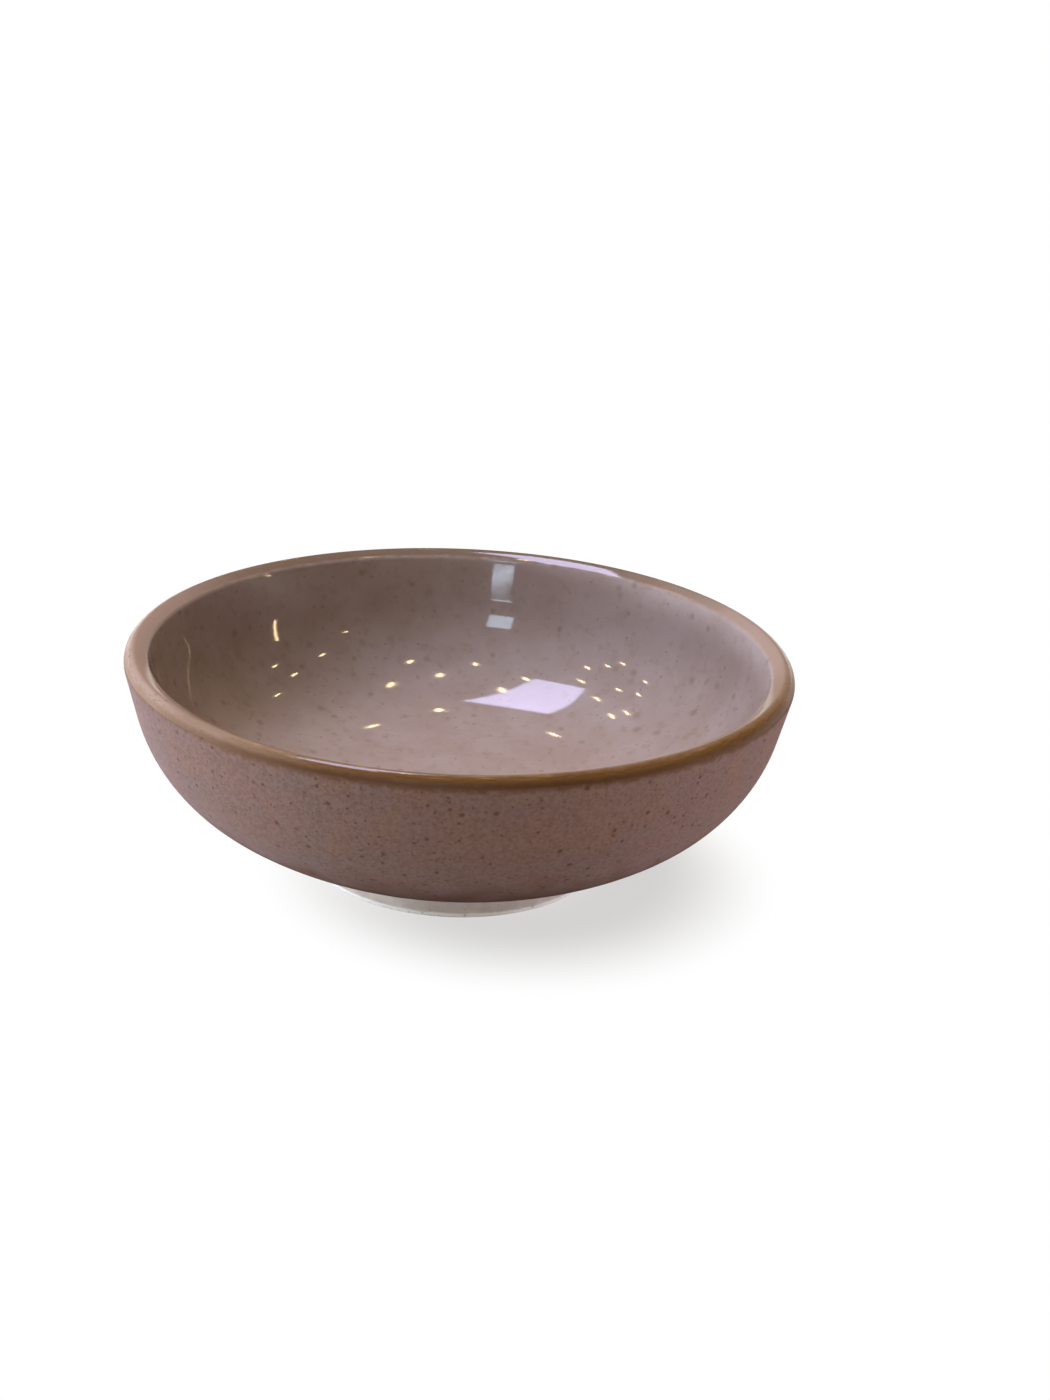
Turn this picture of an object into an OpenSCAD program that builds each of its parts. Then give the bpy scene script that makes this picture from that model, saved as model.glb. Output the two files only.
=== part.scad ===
// Soy sauce dish: a small round stoneware bowl on a foot ring.
// The fired clay is covered by four fused coats: a glossy glaze inside, a satin
// glaze outside, an iron-brown band on the lip and a thin glaze under the base.
// Every piece is turned about the Z axis. The origin is on the table, under the centre.

/* [Bowl] */
// Outside diameter at the widest point of the lip
rim_d = 90; // [76:1:110]
// Height from the table to the crest of the lip
dish_h = 31; // [26:0.5:38]
// Thickness of the glazed wall at the lip
wall_t = 3.3; // [2.6:0.1:4.6]
// Thickness of the glazed floor at its centre
floor_t = 3.8; // [2.6:0.1:5.5]
// Outward lean of the upper wall, in degrees from the vertical
wall_lean = 13.5; // [6:0.5:20]
// Length of the straight wall below the lip
straight_l = 6; // [2:0.5:9]
// Rise of the belly where it leaves the foot, in degrees from the horizontal
belly_rise = 12; // [6:1:20]
// Rise of the floor above the foot, in degrees from the horizontal
floor_rise = 7; // [3:0.5:12]

/* [Foot] */
// Outside diameter of the foot ring where it joins the bowl
foot_d = 41.8; // [34:0.2:50]
// Height of the foot ring
foot_h = 4.6; // [3:0.1:6.5]
// Width of the foot ring where it joins the bowl
foot_w = 4.4; // [3.6:0.1:6]
// Lean of both sides of the foot ring towards its toe, in degrees
foot_draft = 6; // [0:1:10]
// Radius of the two rounded edges of the toe
toe_r = 0.7; // [0.2:0.1:1]

/* [Glaze] */
// Thickness of the glossy glaze inside
inside_glaze_t = 0.5; // [0.2:0.05:0.8]
// Thickness of the satin glaze outside
outside_glaze_t = 0.4; // [0.2:0.05:0.8]
// Thickness of the iron band on the lip
rim_band_t = 0.4; // [0.2:0.05:0.8]
// Thickness of the glaze under the base
base_glaze_t = 0.3; // [0.15:0.05:0.6]
// Outer edge of the iron band, in degrees round the lip from the outward horizontal
band_outer_angle = 15; // [-5:1:40]
// Inner edge of the iron band, in degrees round the lip from the outward horizontal
band_inner_angle = 105; // [80:1:150]
// Bare clay between the outside glaze and the foot ring, along the belly
bare_belly_l = 1.6; // [0.6:0.1:4]
// Height of the bare clay above the table, inside the foot ring
bare_toe_h = 1.6; // [1.1:0.1:2.4]
// Radius of the glaze that pools in the corner under the base
pool_r = 0.9; // [0.1:0.1:1.5]

/* [Hidden] */
$fn = 128;

// Largest turn between two neighbouring points of an arc, in degrees
arc_step = 4;
// Two points closer than this count as one
same_point = 0.001;

// The lip is a round of half the wall's thickness
rim_r = rim_d / 2;
lip_r = wall_t / 2;
lip_c = [rim_r - lip_r, dish_h - lip_r];

// Directions down the upper wall, along the belly into the foot, and along the floor to the axis
wall_dir = [-sin(wall_lean), -cos(wall_lean)];
belly_dir = [-cos(belly_rise), -sin(belly_rise)];
floor_dir = [-cos(floor_rise), -sin(floor_rise)];

// Angles, about the centre of each curve, where the belly meets the foot and the floor begins
belly_end = belly_rise - 90;
floor_start = floor_rise - 90;

// The floor is a shallow curve that is level at the axis
foot_r = foot_d / 2;
floor_z = foot_h - base_glaze_t + floor_t;
floor_r = foot_r / sin(floor_rise);
floor_c = [0, floor_z + floor_r];

// The points that the outer and the inner wall run between
outer_top = lip_c - lip_r * inward(wall_dir) + straight_l * wall_dir;
outer_foot = [foot_r, foot_h] - outside_glaze_t * inward(belly_dir);
inner_top = lip_c + lip_r * inward(wall_dir) + straight_l * wall_dir;
inner_foot = floor_c + floor_r * ray(floor_start);

// Each wall is two arcs: upper centre and radius, lower centre and radius, angle where they meet
outer = two_arcs(outer_top, wall_dir, outer_foot, belly_dir);
inner = two_arcs(inner_top, wall_dir, inner_foot, floor_dir);
glaze_end = belly_end + bare_belly_l / outer[3] * 180 / PI;

// Unit vector at an angle
function ray(angle) = [cos(angle), sin(angle)];

// Normal on the hollow side of a wall that runs downwards along a direction
function inward(dir) = [dir.y, -dir.x];

// The points of a list, last one first
function backwards(points) = [for (i = [len(points) - 1:-1:0]) points[i]];

// The points of a list without repeats
function once(points) =
    [for (i = [0:len(points) - 1]) if (i == 0 || norm(points[i] - points[i - 1]) > same_point) points[i]];

// Points along an arc from one angle to another
function arc(centre, radius, from, to) =
    let (steps = max(1, ceil(abs(to - from) / arc_step)))
    [for (i = [0:steps]) centre + radius * ray(from + (to - from) * i / steps)];

// Radius of the arc that leaves a point along a direction and passes through another point
function arc_radius(point, dir, other) =
    (other - point) * (other - point) / (2 * inward(dir) * (other - point));

// Two tangent arcs that leave one point along a direction and reach another along its own
function two_arcs(start, start_dir, end, end_dir) =
    let (
        chord = end - start,
        sum = start_dir + end_dir,
        turn = 1 - start_dir * end_dir,
        reach = (sqrt((chord * sum) ^ 2 + 2 * turn * (chord * chord)) - chord * sum) / (2 * turn),
        middle = (start + reach * start_dir + end - reach * end_dir) / 2,
        upper_r = arc_radius(start, start_dir, middle),
        lower_r = arc_radius(end, end_dir, middle),
        upper_c = start + upper_r * inward(start_dir),
        lower_c = end + lower_r * inward(end_dir),
        meet = middle - upper_c
    )
    [upper_c, upper_r, lower_c, lower_r, atan2(meet.y, meet.x)];

// Outside of the dish, a depth below its finished surface, from an angle on the lip to one on the belly
function outside_path(depth, from, to) = concat(
    arc(lip_c, lip_r - depth, from, -wall_lean),
    arc(outer[0], outer[1] - depth, -wall_lean, outer[4]),
    arc(outer[2], outer[3] - depth, outer[4], to)
);

// Inside of the dish, a depth below its finished surface, from an angle on the lip to the axis
function inside_path(depth, from) = concat(
    arc(lip_c, lip_r - depth, from, 180 - wall_lean),
    arc(inner[0], inner[1] + depth, -wall_lean, inner[4]),
    arc(inner[2], inner[3] + depth, inner[4], floor_start),
    arc(floor_c, floor_r + depth, floor_start, -90)
);

// Lip, a depth below its finished surface, between the edges of the iron band
function lip_path(depth) = arc(lip_c, lip_r - depth, band_outer_angle, band_inner_angle);

// Inner radius of the foot ring at a height
function foot_bore_r(z) = foot_r - foot_w + (foot_h - z) * tan(foot_draft);

// A section of points, turned about the axis
module turned(points) {
    rotate_extrude() polygon(once(points));
}

// Fired clay bowl without its foot: what is left under the coats, with a flat underside for the foot
module clay_bowl() {
    color([0.86, 0.83, 0.79])
        turned(concat(
            [[0, foot_h]],
            backwards(outside_path(outside_glaze_t, band_outer_angle, belly_end)),
            lip_path(rim_band_t),
            inside_path(inside_glaze_t, band_inner_angle)
        ));
}

// Clay ring that the dish stands on, seated on the flat underside of the bowl
module foot_ring() {
    lean = tan(foot_draft);
    toe_x = foot_r - (foot_h - toe_r * (1 - sin(foot_draft))) * lean - toe_r * cos(foot_draft);
    middle_x = foot_r - foot_w / 2;
    half = concat([[foot_r, foot_h]], arc([toe_x, toe_r], toe_r, -foot_draft, -90));
    other_half = [for (p = backwards(half)) [2 * middle_x - p.x, p.y]];
    color([0.86, 0.84, 0.81]) turned(concat(half, other_half));
}

// Glossy glaze that lines the inside, from the iron band to the middle of the floor
module inside_glaze() {
    color([0.60, 0.52, 0.51])
        turned(concat(
            inside_path(0, band_inner_angle),
            backwards(inside_path(inside_glaze_t, band_inner_angle))
        ));
}

// Satin glaze on the outside, from the iron band to a rounded edge short of the foot
module outside_glaze() {
    edge_r = outside_glaze_t / 2;
    edge_c = outer[2] + (outer[3] - edge_r) * ray(glaze_end);
    color([0.48, 0.38, 0.34])
        turned(concat(
            outside_path(0, band_outer_angle, glaze_end),
            arc(edge_c, edge_r, glaze_end, glaze_end - 180),
            backwards(outside_path(outside_glaze_t, band_outer_angle, glaze_end))
        ));
}

// Iron-brown band over the crest and the outer shoulder of the lip
module rim_band() {
    color([0.42, 0.29, 0.16]) turned(concat(lip_path(0), backwards(lip_path(rim_band_t))));
}

// Thin glaze on the underside of the bowl and down the inner side of the foot ring
module base_glaze() {
    across = base_glaze_t / cos(foot_draft);
    pool_z = foot_h - base_glaze_t - pool_r;
    wall_z = pool_z + pool_r * sin(foot_draft);
    pool_x = foot_bore_r(wall_z) - across - pool_r * cos(foot_draft);
    color([0.50, 0.42, 0.39])
        turned(concat(
            [[0, foot_h], [foot_bore_r(foot_h), foot_h], [foot_bore_r(bare_toe_h), bare_toe_h]],
            [[foot_bore_r(bare_toe_h) - across, bare_toe_h]],
            arc([pool_x, pool_z], pool_r, foot_draft, 90),
            [[0, foot_h - base_glaze_t]]
        ));
}

clay_bowl();
foot_ring();
inside_glaze();
outside_glaze();
rim_band();
base_glaze();
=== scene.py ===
"""Soy sauce dish: the coats, the clay and the light of a small stoneware bowl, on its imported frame."""

import math

import bmesh
import bpy
from mathutils import Matrix, Vector


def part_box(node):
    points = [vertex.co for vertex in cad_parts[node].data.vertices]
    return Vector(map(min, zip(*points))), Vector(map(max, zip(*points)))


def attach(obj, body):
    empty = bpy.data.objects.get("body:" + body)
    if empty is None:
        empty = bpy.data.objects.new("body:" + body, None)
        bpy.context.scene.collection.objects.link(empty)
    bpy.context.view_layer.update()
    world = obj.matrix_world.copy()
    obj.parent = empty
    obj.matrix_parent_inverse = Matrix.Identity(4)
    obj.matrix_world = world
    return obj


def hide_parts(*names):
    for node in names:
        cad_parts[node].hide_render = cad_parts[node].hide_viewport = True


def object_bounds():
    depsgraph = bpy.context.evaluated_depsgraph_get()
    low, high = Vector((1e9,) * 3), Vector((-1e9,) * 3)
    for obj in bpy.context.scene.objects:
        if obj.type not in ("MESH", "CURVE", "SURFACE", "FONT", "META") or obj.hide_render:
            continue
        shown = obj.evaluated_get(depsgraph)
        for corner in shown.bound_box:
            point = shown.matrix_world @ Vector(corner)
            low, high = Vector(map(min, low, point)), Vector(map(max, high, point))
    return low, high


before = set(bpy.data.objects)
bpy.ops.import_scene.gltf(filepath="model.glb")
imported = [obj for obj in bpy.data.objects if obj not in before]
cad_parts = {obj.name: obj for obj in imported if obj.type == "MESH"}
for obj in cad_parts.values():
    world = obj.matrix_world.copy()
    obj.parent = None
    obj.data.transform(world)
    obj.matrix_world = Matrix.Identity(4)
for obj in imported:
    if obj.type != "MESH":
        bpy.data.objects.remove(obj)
cad_low, cad_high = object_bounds()

MM = 0.001

# Sizes that the frame gives
rim_r = max(cad_high.x, cad_high.y)
dish_h = cad_high.z
foot_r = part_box("foot_ring")[1].x
foot_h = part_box("foot_ring")[1].z

# Sizes of the section, as in the solids
wall_t = 3.3 * MM
floor_t = 3.8 * MM
wall_lean = 13.5
straight_l = 6 * MM
belly_rise = 12
floor_rise = 7
foot_w = 4.4 * MM
foot_draft = 6
toe_r = 0.7 * MM
inside_glaze_t = 0.5 * MM
outside_glaze_t = 0.4 * MM
rim_band_t = 0.4 * MM
base_glaze_t = 0.3 * MM
band_outer_angle = 15
band_inner_angle = 105
bare_belly_l = 1.6 * MM
bare_toe_h = 1.6 * MM
pool_r = 0.9 * MM

# How the lip turns over, inside the plain round of the solids: from an outer round over a tight crest to a
# slope and a small round into the wall. Each has a radius and the angle where it ends, from the outside.
lip_turns = ((wall_t / 2, 70), (0.75 * MM, 112), (8.96 * MM, 121), (0.8 * MM, 180 - wall_lean))

# How finely the pieces are turned: steps round the dish, along a long curve and round a small edge, the
# angle from which an edge stays sharp, and how near the axis points become one
turn_steps = 288
curve_steps = 20
edge_steps = 8
sharp_angle = 40
axis_r = 0.001 * MM

# What the hand leaves: how far the lip dips and the wall draws in, and how the edges of the coats wander.
# Also the two sides towards which the lip is darker; between them it is paler, partly painted sheen. Each
# wave is a count round the dish, a share and a shift.
lip_dip = 0.12 * MM
wall_draw = 0.06 * MM
band_wander = 2.5
belly_wander = 0.35 * MM
base_wander = 0.3 * MM
front_side = (0.3, -0.95, 0)
back_side = (-0.05, 1, 0)
slow_waves = ((2, 0.6, 0.7), (3, 0.4, 2.9))
edge_waves = ((5, 0.3, 0.2), (11, 0.3, 1.9), (23, 0.25, 4.0), (41, 0.15, 2.2))

# The camera that fits the photograph: its lens, in pixels of a picture of this height, its place from the
# dish's axis, and its aim
image_h = 1400
focal_px = 2000
camera_distance = 0.2828
camera_height_angle = 25.9
camera_yaw = 2.0
camera_pitch = 21.5
camera_roll = -3.1


# Section

def ray(angle):
    """Unit vector at an angle in degrees."""
    return Vector((math.cos(math.radians(angle)), math.sin(math.radians(angle))))


def inward(direction):
    """Normal on the hollow side of a wall that runs downwards along a direction."""
    return Vector((direction.y, -direction.x))


def arc(centre, radius, start, end, steps=curve_steps):
    """Points along an arc between two angles."""
    return [centre + radius * ray(start + (end - start) * i / steps) for i in range(steps + 1)]


def arc_radius(point, direction, other):
    """Radius of the arc that leaves a point along a direction and passes through another point."""
    gap = other - point
    return gap.dot(gap) / (2 * inward(direction).dot(gap))


def two_arcs(start, start_dir, end, end_dir):
    """Two tangent arcs: upper centre and radius, lower centre and radius, angle where they meet."""
    chord = end - start
    total = start_dir + end_dir
    turn = 1 - start_dir.dot(end_dir)
    along = chord.dot(total)
    reach = (math.sqrt(along ** 2 + 2 * turn * chord.dot(chord)) - along) / (2 * turn)
    middle = (start + reach * start_dir + end - reach * end_dir) / 2
    upper_r = arc_radius(start, start_dir, middle)
    lower_r = arc_radius(end, end_dir, middle)
    upper_c = start + upper_r * inward(start_dir)
    lower_c = end + lower_r * inward(end_dir)
    meet = middle - upper_c
    return upper_c, upper_r, lower_c, lower_r, math.degrees(math.atan2(meet.y, meet.x))


lip_r = wall_t / 2
lip_c = Vector((rim_r - lip_r, dish_h - lip_r))
wall_dir = -ray(90 - wall_lean)
belly_dir = -ray(belly_rise)
floor_dir = -ray(floor_rise)
belly_end = belly_rise - 90
floor_start = floor_rise - 90
floor_r = foot_r / math.sin(math.radians(floor_rise))
floor_c = Vector((0, foot_h - base_glaze_t + floor_t + floor_r))
outer_top = lip_c - lip_r * inward(wall_dir) + straight_l * wall_dir
outer_foot = Vector((foot_r, foot_h)) - outside_glaze_t * inward(belly_dir)
inner_top = lip_c + lip_r * inward(wall_dir) + straight_l * wall_dir
inner_foot = floor_c + floor_r * ray(floor_start)
outer_arcs = two_arcs(outer_top, wall_dir, outer_foot, belly_dir)
inner_arcs = two_arcs(inner_top, wall_dir, inner_foot, floor_dir)
outer_up_c, outer_up_r, outer_low_c, outer_low_r, outer_meet = outer_arcs
inner_up_c, inner_up_r, inner_low_c, inner_low_r, inner_meet = inner_arcs
glaze_end = belly_end + math.degrees(bare_belly_l / outer_low_r)


def lip_path(depth, start, end):
    """Lip, a depth below its surface, between two angles round it."""
    points = []
    centre, last_radius, low = lip_c, lip_r, -wall_lean
    for radius, high in lip_turns:
        centre = centre + (last_radius - radius) * ray(low)
        if start < high and end > low:
            points = points[:-1] + arc(centre, radius - depth, max(start, low), min(end, high), edge_steps)
        last_radius, low = radius, high
    return points


def joined(upper, lower):
    """Two runs of points, with more of them near the ends of the straight between."""
    return upper + [upper[-1].lerp(lower[0], share) for share in (0.05, 0.95)] + lower


def outside_path(depth, start, end):
    """Outside of the dish, a depth below its surface, from an angle on the lip to one on the belly."""
    lip = arc(lip_c, lip_r - depth, start, -wall_lean, edge_steps)
    wall = arc(outer_up_c, outer_up_r - depth, -wall_lean, outer_meet)
    return joined(lip, wall) + arc(outer_low_c, outer_low_r - depth, outer_meet, end)[1:]


def inside_path(depth, start):
    """Inside of the dish, a depth below its surface, from an angle on the lip to the axis."""
    lip = lip_path(depth, start, 180 - wall_lean)
    wall = arc(inner_up_c, inner_up_r + depth, -wall_lean, inner_meet)
    return (joined(lip, wall) + arc(inner_low_c, inner_low_r + depth, inner_meet, floor_start)[1:]
            + arc(floor_c, floor_r + depth, floor_start, -90)[1:])


def foot_bore_r(z):
    """Inner radius of the foot ring at a height."""
    return foot_r - foot_w + (foot_h - z) * math.tan(math.radians(foot_draft))


def wander(theta, waves):
    """A smooth wave round the dish, between about -1 and 1."""
    return sum(share * math.cos(count * theta + shift) for count, share, shift in waves)


def thrown(point, theta):
    """Where the hand left a point of the true section: the lip dips a little and the wall draws in."""
    share = (max(point.y, 0) / dish_h) ** 2
    swing = (1 + wander(theta, slow_waves)) / 2
    return point.x - wall_draw * share * swing, point.y - lip_dip * share * (1 - swing)


# Pieces

def lengths_along(points):
    """Distance of each point from the first, along the points."""
    total = [0.0]
    for one, other in zip(points, points[1:]):
        total.append(total[-1] + (other - one).length)
    return total


def lathe(name, node, section_at):
    """Turns a section, given by its shown and its hidden side at each angle, into a closed piece."""
    mesh = bmesh.new()
    from_start = mesh.verts.layers.float.new("from_start")
    to_end = mesh.verts.layers.float.new("to_end")
    on_axis = {}
    rings = []
    for i in range(turn_steps):
        theta = 2 * math.pi * i / turn_steps
        shown, hidden = section_at(theta)
        run = lengths_along(shown)
        run += [run[-1]] * len(hidden)
        ring = []
        for k, point in enumerate(shown + hidden):
            r, z = thrown(point, theta)
            vert = on_axis.get(k)
            if vert is None:
                vert = mesh.verts.new((r * math.cos(theta), r * math.sin(theta), z))
                vert[from_start] = run[k]
                vert[to_end] = run[-1] - run[k]
            if point.x < axis_r:
                on_axis[k] = vert
            ring.append(vert)
        rings.append(ring)
    for i in range(turn_steps):
        here, there = rings[i], rings[(i + 1) % turn_steps]
        for k in range(len(here)):
            m = (k + 1) % len(here)
            corners = list(dict.fromkeys((here[k], there[k], there[m], here[m])))
            if len(corners) > 2:
                mesh.faces.new(corners)
    bmesh.ops.recalc_face_normals(mesh, faces=mesh.faces)
    data = bpy.data.meshes.new(name)
    mesh.to_mesh(data)
    mesh.free()
    data.shade_smooth()
    data.set_sharp_from_angle(angle=math.radians(sharp_angle))
    piece = bpy.data.objects.new(name, data)
    bpy.context.collection.objects.link(piece)
    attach(piece, "root")
    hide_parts(node)
    return piece


def band_outer(theta):
    """Outer edge of the iron band on the lip, in degrees."""
    return band_outer_angle + band_wander * wander(theta, edge_waves)


def band_inner(theta):
    """Inner edge of the iron band on the lip, in degrees."""
    return band_inner_angle + band_wander * wander(theta + 1, edge_waves)


def lining_section(theta):
    """Glossy glaze inside, from the iron band to the axis."""
    return inside_path(0, band_inner(theta)), inside_path(inside_glaze_t, band_inner(theta))[::-1]


def coat_section(theta):
    """Satin glaze outside, from the iron band to its rounded edge above the foot."""
    end = glaze_end + math.degrees(belly_wander / outer_low_r) * wander(theta, edge_waves)
    edge_r = outside_glaze_t / 2
    edge_c = outer_low_c + (outer_low_r - edge_r) * ray(end)
    edge = arc(edge_c, edge_r, end, end - 180, edge_steps)
    shown = outside_path(0, band_outer(theta), end) + edge[1:-1]
    return shown, outside_path(outside_glaze_t, band_outer(theta), end)[::-1]


def band_section(theta):
    """Iron band over the crest and the outer shoulder of the lip."""
    edges = band_outer(theta), band_inner(theta)
    return lip_path(0, *edges), lip_path(rim_band_t, *edges)[::-1]


def base_section(theta):
    """Thin glaze under the base, pooled in the corner and drawn down the inner side of the foot."""
    low = bare_toe_h + base_wander * wander(theta + 2, edge_waves)
    tilt = math.radians(foot_draft)
    across = base_glaze_t / math.cos(tilt)
    pool_z = foot_h - base_glaze_t - pool_r
    pool_x = foot_bore_r(pool_z + pool_r * math.sin(tilt)) - across - pool_r * math.cos(tilt)
    roof = Vector((0, foot_h - base_glaze_t))
    shown = [Vector((foot_bore_r(low) - across, low))]
    shown += arc(Vector((pool_x, pool_z)), pool_r, foot_draft, 90, edge_steps)
    shown += [roof.lerp(shown[-1], share) for share in (0.75, 0.5, 0.25, 0)]
    hidden = [Vector((foot_bore_r(z), z)) for z in (foot_h, low)]
    return shown, [Vector((0, foot_h))] + hidden


def foot_section(theta):
    """Clay ring that the dish stands on."""
    tilt = math.radians(foot_draft)
    toe_x = foot_r - (foot_h - toe_r * (1 - math.sin(tilt))) * math.tan(tilt) - toe_r * math.cos(tilt)
    toe = arc(Vector((toe_x, toe_r)), toe_r, -foot_draft, -90, edge_steps)
    outer = [Vector((foot_r, foot_h))] + toe
    middle = foot_r - foot_w / 2
    inner = [Vector((2 * middle - p.x, p.y)) for p in reversed(outer)]
    return outer + inner, []


def bowl_section(theta):
    """Fired clay under the coats, with a flat underside for the foot."""
    belly = outside_path(outside_glaze_t, band_outer(theta), belly_end)
    lip = lip_path(rim_band_t, band_outer(theta), band_inner(theta))
    floor = inside_path(inside_glaze_t, band_inner(theta))
    return belly[::-1] + lip[1:-1] + floor, [Vector((0, foot_h))]


lining = lathe("glossy_lining", "inside_glaze", lining_section)
coat = lathe("satin_coat", "outside_glaze", coat_section)
band = lathe("iron_lip", "rim_band", band_section)
base = lathe("base_coat", "base_glaze", base_section)
foot = lathe("turned_foot", "foot_ring", foot_section)
bowl = lathe("thrown_bowl", "clay_bowl", bowl_section)


# Materials

class Look:
    """A material in the making: its shader, and short calls for the nodes used here."""

    def __init__(self, name):
        self.material = bpy.data.materials.new(name)
        self.material.use_nodes = True
        self.tree = self.material.node_tree
        self.shader = self.tree.nodes["Principled BSDF"]
        self.place = self.node("ShaderNodeTexCoord").outputs["Object"]

    def node(self, kind, inputs=(), **settings):
        """A new node with settings, and inputs given by name or number as a value or a link."""
        made = self.tree.nodes.new(kind)
        for key, value in settings.items():
            setattr(made, key, value)
        for key, value in dict(inputs).items():
            self.feed(made.inputs[key], value)
        return made

    def feed(self, socket, value):
        """Links a socket, or sets its value."""
        if isinstance(value, bpy.types.NodeSocket):
            self.tree.links.new(value, socket)
        else:
            socket.default_value = value

    def noise(self, size, seed, detail=2.0):
        """Smooth noise about 0.5, with features of a size."""
        inputs = {"Vector": self.place, "W": seed, "Scale": 1 / size, "Detail": detail}
        return self.node("ShaderNodeTexNoise", inputs, noise_dimensions="4D").outputs["Fac"]

    def sums(self, operation, first, second=0.0, third=0.0):
        """Arithmetic on up to three values."""
        inputs = {0: first, 1: second, 2: third}
        return self.node("ShaderNodeMath", inputs, operation=operation).outputs[0]

    def step(self, value, low, high):
        """A soft step from 0 at low to 1 at high."""
        inputs = {"Value": value, "From Min": low, "From Max": high}
        return self.node("ShaderNodeMapRange", inputs, interpolation_type="SMOOTHSTEP").outputs["Result"]

    def run(self, value, low, high):
        """A value from 0 to 1 carried to a range."""
        inputs = {"Value": value, "To Min": low, "To Max": high}
        return self.node("ShaderNodeMapRange", inputs).outputs["Result"]

    def mix(self, share, first, second):
        """Colour between two, a share from 0 to 1 of the way."""
        made = self.node("ShaderNodeMix", {0: share, 6: first, 7: second}, data_type="RGBA")
        return made.outputs[2]

    def uneven(self, length, reach, pattern):
        """A length that a pattern from 0 to 1 moves up to a reach either way."""
        return self.sums("ADD", length, self.run(pattern, -reach, reach))

    def stored(self, name):
        """A length that the mesh carries."""
        return self.node("ShaderNodeAttribute", attribute_name=name).outputs["Fac"]

    def height(self):
        """Height above the table."""
        return self.node("ShaderNodeSeparateXYZ", {0: self.place}).outputs["Z"]

    def specks(self, spacing, radius, seed, soft=0.5):
        """Scattered specks of uneven size and outline, as a mask."""
        inputs = {"Vector": self.place, "W": seed, "Scale": 1 / radius}
        blur = self.node("ShaderNodeTexNoise", inputs, noise_dimensions="4D").outputs["Color"]
        inputs = {0: blur, 1: (0.7 * radius,) * 3, 2: (seed,) * 3}
        shift = self.node("ShaderNodeVectorMath", inputs, operation="MULTIPLY_ADD").outputs[0]
        moved = self.node("ShaderNodeVectorMath", {0: self.place, 1: shift}).outputs[0]
        cells = self.node("ShaderNodeTexVoronoi", {"Vector": moved, "Scale": 1 / spacing})
        dice = self.node("ShaderNodeSeparateColor", {0: cells.outputs["Color"]}).outputs[0]
        reach = self.run(self.sums("POWER", dice, 2.0), 0.3 * radius / spacing, radius / spacing)
        ratio = self.sums("DIVIDE", cells.outputs["Distance"], reach)
        return self.sums("SUBTRACT", 1.0, self.step(ratio, 1 - soft, 1 + soft))

    def relief(self, bumps):
        """Surface bumps from pairs of a pattern and its depth."""
        normal = None
        for pattern, depth in bumps:
            inputs = {"Height": pattern, "Distance": depth, "Strength": 1.0}
            if normal is not None:
                inputs["Normal"] = normal
            normal = self.node("ShaderNodeBump", inputs).outputs[0]
        self.feed(self.shader.inputs["Normal"], normal)

    def paint(self, piece, colour, roughness):
        """Gives the shader its colour and roughness, and the material to a piece."""
        self.feed(self.shader.inputs["Base Color"], colour)
        self.feed(self.shader.inputs["Roughness"], roughness)
        piece.data.materials.append(self.material)


# Colours of the iron wash on the crest of the lip: at the left and right sides, where it is paler partly as
# painted sheen, in front and at the back
side_wash_and_sheen = (0.275, 0.197, 0.166, 1)
front_wash = (0.205, 0.138, 0.088, 1)
back_wash = (0.125, 0.082, 0.055, 1)


def wash_share(look, side):
    """How far towards a side of the dish the darker iron colour lies, from 0 to 1; the paler lip away from
    it is partly painted sheen.
    """
    depth = look.node("ShaderNodeVectorMath", {0: look.place, 1: side}, operation="DOT_PRODUCT")
    depth = look.uneven(depth.outputs["Value"], 8 * MM, look.noise(9 * MM, 25.0))
    return look.step(depth, 8 * MM, 38 * MM)


def glossy_glaze(piece):
    """Taupe glaze melted to a gloss, clouded and softly specked."""
    look = Look("glossy_glaze")
    look.shader.inputs["Specular IOR Level"].default_value = 0.4
    cloud = look.step(look.noise(6 * MM, 1.0, 3.0), 0.3, 0.7)
    colour = look.mix(cloud, (0.284, 0.220, 0.211, 1), (0.314, 0.255, 0.254, 1))
    blotch = look.step(look.noise(1.6 * MM, 2.0, 3.0), 0.5, 0.75)
    colour = look.mix(look.run(blotch, 0.0, 0.3), colour, (0.19, 0.125, 0.100, 1))
    soft = look.specks(2.6 * MM, 0.55 * MM, 3.0, 0.9)
    colour = look.mix(look.run(soft, 0.0, 0.4), colour, (0.14, 0.085, 0.065, 1))
    fine = look.specks(1.4 * MM, 0.22 * MM, 4.0, 0.8)
    colour = look.mix(look.run(fine, 0.0, 0.35), colour, (0.12, 0.070, 0.050, 1))
    edge = look.uneven(look.stored("from_start"), 0.4 * MM, look.noise(1.2 * MM, 8.0, 3.0))
    # The lip's colours reach over the top of the lining; the pale side colour is partly painted sheen
    wash = look.mix(wash_share(look, front_side), side_wash_and_sheen, front_wash)
    wash = look.mix(wash_share(look, back_side), wash, back_wash)
    colour = look.mix(look.run(look.step(edge, 2.2 * MM, 1.1 * MM), 0.0, 0.85), colour, wash)
    look.relief([(look.noise(7 * MM, 5.0, 0.0), 0.006 * MM), (look.noise(1.5 * MM, 6.0, 0.0), 0.0004 * MM)])
    look.paint(piece, colour, look.run(look.noise(4 * MM, 7.0), 0.05, 0.075))


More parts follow.
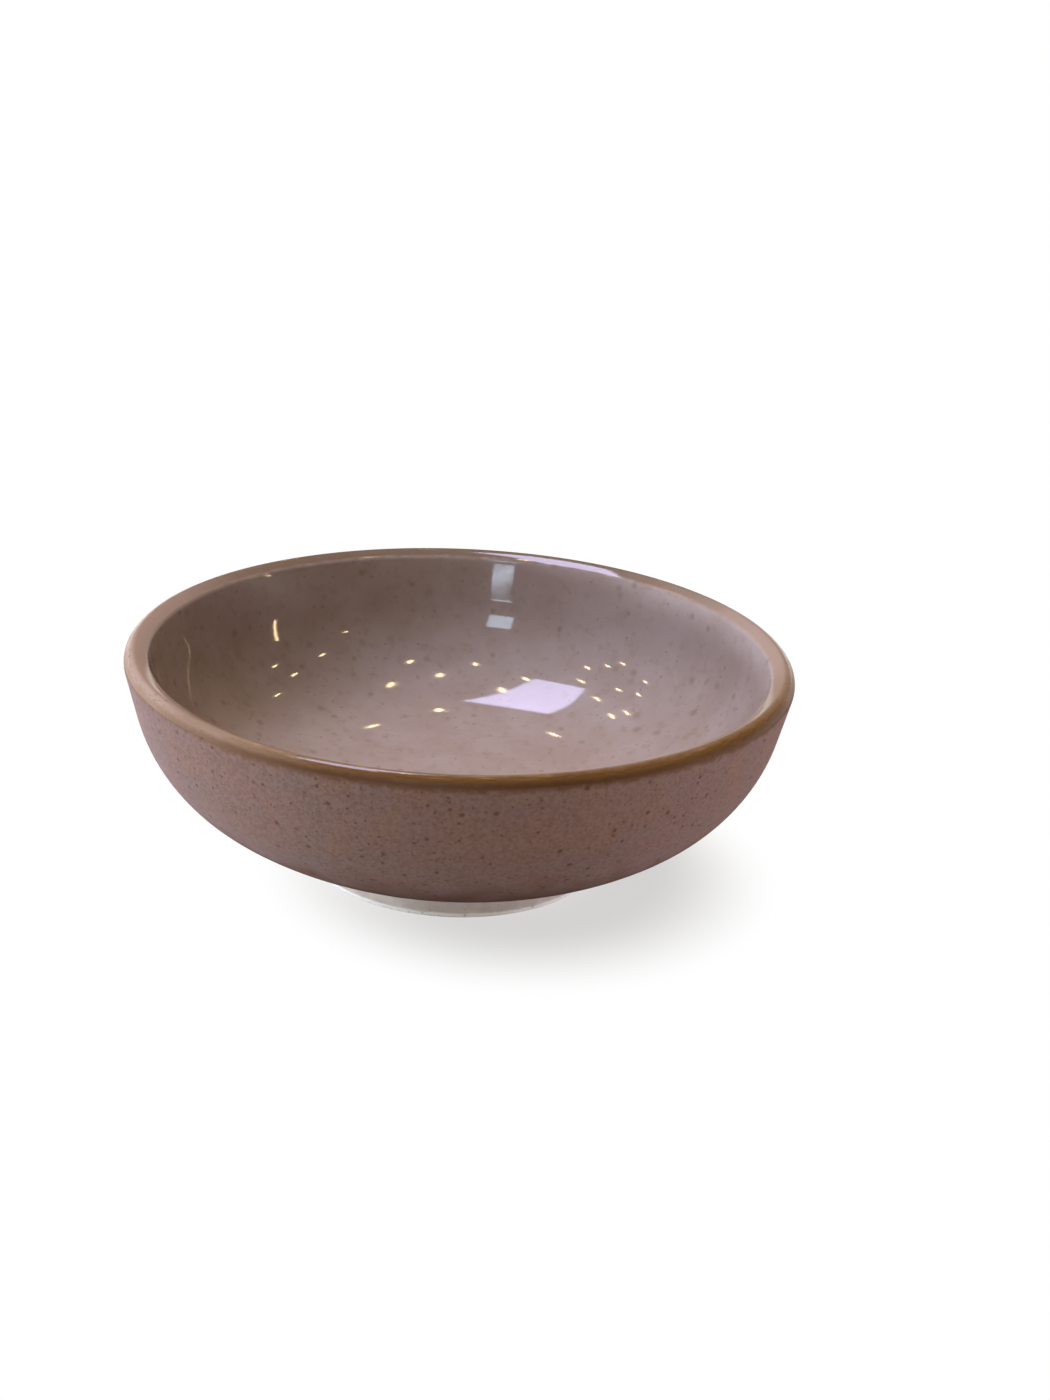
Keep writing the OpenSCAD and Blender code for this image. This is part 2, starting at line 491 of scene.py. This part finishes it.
def satin_glaze(piece):
    """Brown glaze that matures to a satin, crowded with fine iron specks."""
    look = Look("satin_glaze")
    look.shader.inputs["Specular IOR Level"].default_value = 0.0
    look.shader.inputs["Sheen Roughness"].default_value = 0.35
    look.shader.inputs["Sheen Tint"].default_value = (0.9, 0.78, 0.95, 1)
    cloud = look.step(look.noise(5 * MM, 11.0, 3.0), 0.3, 0.7)
    colour = look.mix(cloud, (0.200, 0.126, 0.103, 1), (0.183, 0.127, 0.115, 1))
    # Darker and warmer towards the foot: painted shade of the belly's underside, where the sheen also fades
    above_foot = look.uneven(look.stored("to_end"), 4 * MM, look.noise(4 * MM, 18.0, 3.0))
    low = look.step(above_foot, 23 * MM, 13 * MM)
    look.feed(look.shader.inputs["Sheen Weight"], look.run(low, 0.18, 0.02))
    colour = look.mix(low, colour, (0.125, 0.064, 0.036, 1))
    grain = look.step(look.noise(0.45 * MM, 12.0, 3.0), 0.35, 0.65)
    colour = look.mix(look.run(grain, 0.0, 0.45), colour, (0.118, 0.068, 0.053, 1))
    edge = look.uneven(look.stored("from_start"), 0.6 * MM, look.noise(1.0 * MM, 13.0, 3.0))
    creep = look.step(edge, 0.9 * MM, 0.0)
    stain = look.run(wash_share(look, front_side), 0.3, 0.85)
    colour = look.mix(look.sums("MULTIPLY", creep, stain), colour, (0.105, 0.052, 0.026, 1))
    large = look.specks(1.3 * MM, 0.32 * MM, 14.0, 0.7)
    colour = look.mix(look.run(large, 0.0, 0.7), colour, (0.062, 0.030, 0.020, 1))
    fine = look.specks(0.62 * MM, 0.17 * MM, 15.0, 0.8)
    colour = look.mix(look.run(fine, 0.0, 0.5), colour, (0.080, 0.042, 0.030, 1))
    look.relief([(look.noise(0.6 * MM, 16.0, 3.0), 0.012 * MM), (large, -0.01 * MM)])
    dry = look.run(look.noise(1.5 * MM, 17.0, 3.0), 0.40, 0.55)
    look.paint(piece, colour, look.sums("MULTIPLY_ADD", low, 0.4, dry))


def iron_glaze(piece):
    """Iron wash on the lip: red-brown at its edge, ochre on the shoulder, paler beige on the crest at the
    sides, partly painted sheen.
    """
    look = Look("iron_glaze")
    look.shader.inputs["Specular IOR Level"].default_value = 0.3
    across = look.uneven(look.stored("from_start"), 0.5 * MM, look.noise(1.3 * MM, 21.0, 3.0))
    shoulder = look.step(across, 0.2 * MM, 0.9 * MM)
    thick = look.mix(shoulder, (0.075, 0.031, 0.011, 1), (0.115, 0.052, 0.014, 1))
    thick = look.mix(look.step(across, 0.9 * MM, 2.3 * MM), thick, front_wash)
    # Paler beige towards the crest on the sides: partly painted sheen
    thin = look.mix(look.step(across, 0.1 * MM, 1.2 * MM), (0.20, 0.122, 0.080, 1), side_wash_and_sheen)
    colour = look.mix(wash_share(look, front_side), thin, thick)
    colour = look.mix(wash_share(look, back_side), colour, back_wash)
    fine = look.specks(0.8 * MM, 0.22 * MM, 22.0, 0.7)
    colour = look.mix(look.run(fine, 0.0, 0.5), colour, (0.100, 0.050, 0.022, 1))
    look.relief([(look.noise(0.7 * MM, 23.0, 3.0), 0.012 * MM)])
    look.paint(piece, colour, look.run(look.step(across, 0.6 * MM, 1.3 * MM), 0.45, 0.08))


def turning_rings(look, spacing):
    """Rings about the axis, as a turning tool leaves them."""
    flat = look.node("ShaderNodeVectorMath", {0: look.place, 1: (1, 1, 0)}, operation="MULTIPLY").outputs[0]
    radius = look.node("ShaderNodeVectorMath", {0: flat}, operation="LENGTH").outputs["Value"]
    radius = look.uneven(radius, 0.4 * MM, look.noise(4 * MM, 41.0))
    turns = look.sums("SINE", look.sums("MULTIPLY", radius, 2 * math.pi / spacing))
    return look.run(turns, 0.5, 1.0)


def base_satin(piece):
    """Thin satin glaze under the base, with the turning marks showing through."""
    look = Look("base_satin")
    cloud = look.step(look.noise(5 * MM, 31.0, 3.0), 0.35, 0.65)
    colour = look.mix(cloud, (0.20, 0.125, 0.098, 1), (0.24, 0.165, 0.138, 1))
    edge = look.step(look.stored("from_start"), 0.6 * MM, 0.0)
    colour = look.mix(look.run(edge, 0.0, 0.6), colour, (0.12, 0.062, 0.030, 1))
    large = look.specks(1.5 * MM, 0.36 * MM, 32.0)
    colour = look.mix(look.run(large, 0.0, 0.7), colour, (0.06, 0.034, 0.026, 1))
    look.relief([(turning_rings(look, 1.3 * MM), 0.03 * MM), (look.noise(0.6 * MM, 33.0, 3.0), 0.012 * MM)])
    look.paint(piece, colour, look.run(look.noise(1.5 * MM, 34.0, 3.0), 0.34, 0.5))


def bare_clay(piece, name, dark, pale, toe):
    """Fired clay without glaze: a sandy body, paler where it meets the table."""
    look = Look(name)
    cloud = look.step(look.noise(2.5 * MM, 51.0, 3.0), 0.35, 0.65)
    colour = look.mix(cloud, dark, pale)
    low = look.uneven(look.height(), 0.25 * MM, look.noise(2.0 * MM, 52.0, 3.0))
    colour = look.mix(look.step(low, 1.0 * MM, 0.6 * MM), colour, toe)
    sand = look.specks(0.9 * MM, 0.2 * MM, 53.0)
    colour = look.mix(look.run(sand, 0.0, 0.5), colour, (0.20, 0.15, 0.12, 1))
    look.relief([(turning_rings(look, 0.8 * MM), 0.02 * MM), (look.noise(0.25 * MM, 54.0, 3.0), 0.02 * MM)])
    look.paint(piece, colour, look.run(look.noise(0.8 * MM, 55.0, 3.0), 0.7, 0.9))


glossy_glaze(lining)
satin_glaze(coat)
iron_glaze(band)
base_satin(base)
# The foot's clay is darker than the bowl's: painted shade of the belly over the foot's side
bare_clay(foot, "foot_clay", (0.46, 0.39, 0.35, 1), (0.54, 0.47, 0.43, 1), (0.80, 0.77, 0.74, 1))
bare_clay(bowl, "bowl_clay", (0.55, 0.47, 0.42, 1), (0.64, 0.56, 0.51, 1), (0.84, 0.82, 0.79, 1))


# Floor and background

# The floor: half its width, its colour under the light, and how white it is by the dish, where the shadow
# shows. The shadow has a middle, and distances from there between which the floor becomes all white.
floor_half = 8
paper_colour = (0.50, 0.44, 0.38, 1)
floor_white = 0.62
shadow_centre = (9 * MM, -4 * MM, 0)
shadow_near = 18 * MM
shadow_far = 37 * MM

# Colour of the room's light overhead, and the heights between which the pale horizon turns into it
sky_colour = (0.15, 0.105, 0.055, 1)
horizon_colour = (0.85, 0.80, 0.74, 1)
horizon_low = 0.05
horizon_high = 0.13


def plain_white(look, share=1.0):
    """A surface that is white to the camera and in reflections, by a share, and paper to other rays."""
    path = look.node("ShaderNodeLightPath").outputs
    seen = look.sums("ADD", path["Is Camera Ray"], path["Is Glossy Ray"])
    seen = look.sums("MINIMUM", look.sums("ADD", seen, path["Is Transmission Ray"]), 1.0)
    paper = look.node("ShaderNodeBsdfDiffuse", {"Color": paper_colour}).outputs[0]
    white = look.node("ShaderNodeEmission", {"Strength": 1.0}).outputs[0]
    share = look.sums("MULTIPLY", seen, share)
    both = look.node("ShaderNodeMixShader", {0: share, 1: paper, 2: white}).outputs[0]
    look.tree.nodes.remove(look.shader)
    look.feed(look.tree.nodes["Material Output"].inputs["Surface"], both)


def stage_piece(name, mesh):
    """An object that isn't part of the dish."""
    data = bpy.data.meshes.new(name)
    mesh.to_mesh(data)
    mesh.free()
    piece = bpy.data.objects.new(name, data)
    bpy.context.collection.objects.link(piece)
    return piece


def make_floor(half_width):
    """Pale floor, white to the camera away from the dish, which keeps the shadow near it."""
    mesh = bmesh.new()
    bmesh.ops.create_grid(mesh, x_segments=2, y_segments=2, size=half_width)
    floor = stage_piece("floor", mesh)
    look = Look("floor_paper")
    inputs = {0: look.place, 1: shadow_centre}
    radius = look.node("ShaderNodeVectorMath", inputs, operation="DISTANCE").outputs["Value"]
    clear = look.step(radius, shadow_near, shadow_far)
    plain_white(look, look.run(clear, floor_white, 1.0))
    floor.data.materials.append(look.material)


def make_world():
    """Soft light from all round, pale at the horizon and warmer overhead."""
    world = bpy.data.worlds.new("studio")
    world.use_nodes = True
    tree = world.node_tree
    place = tree.nodes.new("ShaderNodeTexCoord").outputs["Generated"]
    part = tree.nodes.new("ShaderNodeSeparateXYZ")
    tree.links.new(place, part.inputs[0])
    share = tree.nodes.new("ShaderNodeMapRange")
    share.interpolation_type = "SMOOTHSTEP"
    share.inputs["From Min"].default_value = horizon_low
    share.inputs["From Max"].default_value = horizon_high
    tree.links.new(part.outputs["Z"], share.inputs["Value"])
    colour = tree.nodes.new("ShaderNodeMix")
    colour.data_type = "RGBA"
    colour.inputs[6].default_value = horizon_colour
    colour.inputs[7].default_value = sky_colour
    tree.links.new(share.outputs[0], colour.inputs[0])
    tree.links.new(colour.outputs[2], tree.nodes["Background"].inputs["Color"])
    bpy.context.scene.world = world


make_floor(floor_half)
make_world()


# Lights

# What the lamps point at, how far off they are, and their usual sizes and colours
dish = Vector((0, 0, 0.02))
down = Vector((0, 0, -1))
ceiling = 0.9
soft_distance = 1.2
soft_size = 0.6
strip_length = 1.0
glint_distance = 2
warm = (1.0, 0.74, 0.40)
cool = (0.66, 0.82, 1.0)

# Rows of ceiling lamps: how far back each row is, and how far to the side its lamps are, as slopes
lamp_rows = {
    -0.81: (1.19,),
    -0.15: (-1.3, -1.0, -0.73, -0.06, 0.23, 0.9),
    0.1: (-0.52, -0.23, 0.07),
    0.27: (-1.23, -0.73, -0.12, 0.21, 0.83, 1.26),
    0.4: (-0.88, -0.46),
    0.64: (-0.55, -0.45, 0.04, 0.7),
    1.0: (-0.14, 0.12),
}

# Width of a ceiling lamp overhead, length and brightness of each
lamp_width = 0.02
lamp_length = 0.065
lamp_brightness = 50


def lamp(name, place, aim, width, length, brightness, colour, spin=0, shape="RECTANGLE", role="both"):
    """Flat lamp of an even brightness, where 1 is white, aimed at a point, for light, glints or both."""
    light = bpy.data.lights.new(name, "AREA")
    light.shape = shape
    light.size = width
    light.size_y = length
    area = width * length * (math.pi / 4 if shape == "ELLIPSE" else 1)
    light.energy = brightness * math.pi * area
    light.color = colour
    holder = bpy.data.objects.new(name, light)
    turn = (aim - place).to_track_quat("-Z", "Y").to_matrix()
    turn = turn @ Matrix.Rotation(math.radians(spin), 3, "Z")
    holder.matrix_world = Matrix.Translation(place) @ turn.to_4x4()
    holder.visible_camera = False
    holder.visible_glossy = role != "light"
    holder.visible_diffuse = role != "glint"
    bpy.context.collection.objects.link(holder)


def soft_light(name, direction, brightness, colour):
    """Large square lamp that only lights the dish."""
    place = soft_distance * Vector(direction)
    lamp(name, place, dish, soft_size, soft_size, brightness, colour, role="light")


def strip_light(name, place, height, brightness, colour):
    """Long, narrow lamp that only lights the dish."""
    lamp(name, Vector(place), dish, strip_length, height, brightness, colour, role="light")


def glint(name, direction, width, length, brightness, colour, spin=0):
    """Lamp that only shows as a reflection in the gloss."""
    place = glint_distance * Vector(direction)
    lamp(name, place, dish, width, length, brightness, colour, spin, role="glint")


def overhead(x, y):
    """A place on the ceiling, from its slopes as seen from the dish."""
    return ceiling * Vector((x, y, 1))


window = overhead(-0.24, 0.34)
lamp("window", window, window + down, 0.22, 0.41, 15, (0.66, 0.64, 1.0), -36, role="glint")
soft_light("key", (-0.64, 0, 0.77), 7.8, (0.65, 0.76, 1.0))
soft_light("top", (-0.36, 0.28, 0.89), 8.1, (0.87, 0.90, 1.0))
soft_light("back", (0, 0.64, 0.77), 5.0, (1.0, 0.72, 0.42))
strip_light("left_strip", (-1, 0, 0.045), 0.09, 64, (0.76, 0.88, 1.0))
strip_light("right_strip", (1, 0, 0.026), 0.05, 64, (0.90, 0.88, 1.0))
strip_light("front_strip", (-0.24, -0.91, 0.34), 0.15, 3.6, (1.0, 1.0, 0.90))
glint("low_cool_glint", (-0.257, -0.955, 0.171), 0.28, 0.010, 40, cool)
glint("high_cool_glint", (-0.247, -0.83, 0.52), 0.33, 0.46, 11, cool)
glint("low_warm_glint", (0.94, -0.105, 0.24), 0.035, 0.62, 40, warm, -15)

# Ceiling lamps are wider to the side and narrower further back, so that their glints look alike
for row, columns in lamp_rows.items():
    for column in columns:
        place = overhead(column, row)
        width = lamp_width * (1 + column ** 2) / (1 + max(row, 0))
        aim = place + down
        lamp("ceiling_lamp", place, aim, width, lamp_length, lamp_brightness, warm, shape="ELLIPSE")


# Camera

def make_camera():
    """Camera at the photograph's place and angle."""
    height_angle = math.radians(camera_height_angle)
    yaw, pitch = math.radians(camera_yaw), math.radians(camera_pitch)
    place = camera_distance * Vector((0, -math.cos(height_angle), math.sin(height_angle)))
    forward = Vector((math.sin(yaw) * math.cos(pitch), math.cos(yaw) * math.cos(pitch), -math.sin(pitch)))
    right = forward.cross(Vector((0, 0, 1))).normalized()
    right.rotate(Matrix.Rotation(math.radians(camera_roll), 3, forward))
    up = right.cross(forward)
    data = bpy.data.cameras.new("camera")
    data.lens = focal_px / image_h * data.sensor_width
    data.clip_start = 0.01
    camera = bpy.data.objects.new("camera", data)
    camera.matrix_world = Matrix.Translation(place) @ Matrix((right, up, -forward)).transposed().to_4x4()
    bpy.context.collection.objects.link(camera)
    bpy.context.scene.camera = camera


make_camera()
bpy.context.scene.view_settings.view_transform = "Standard"
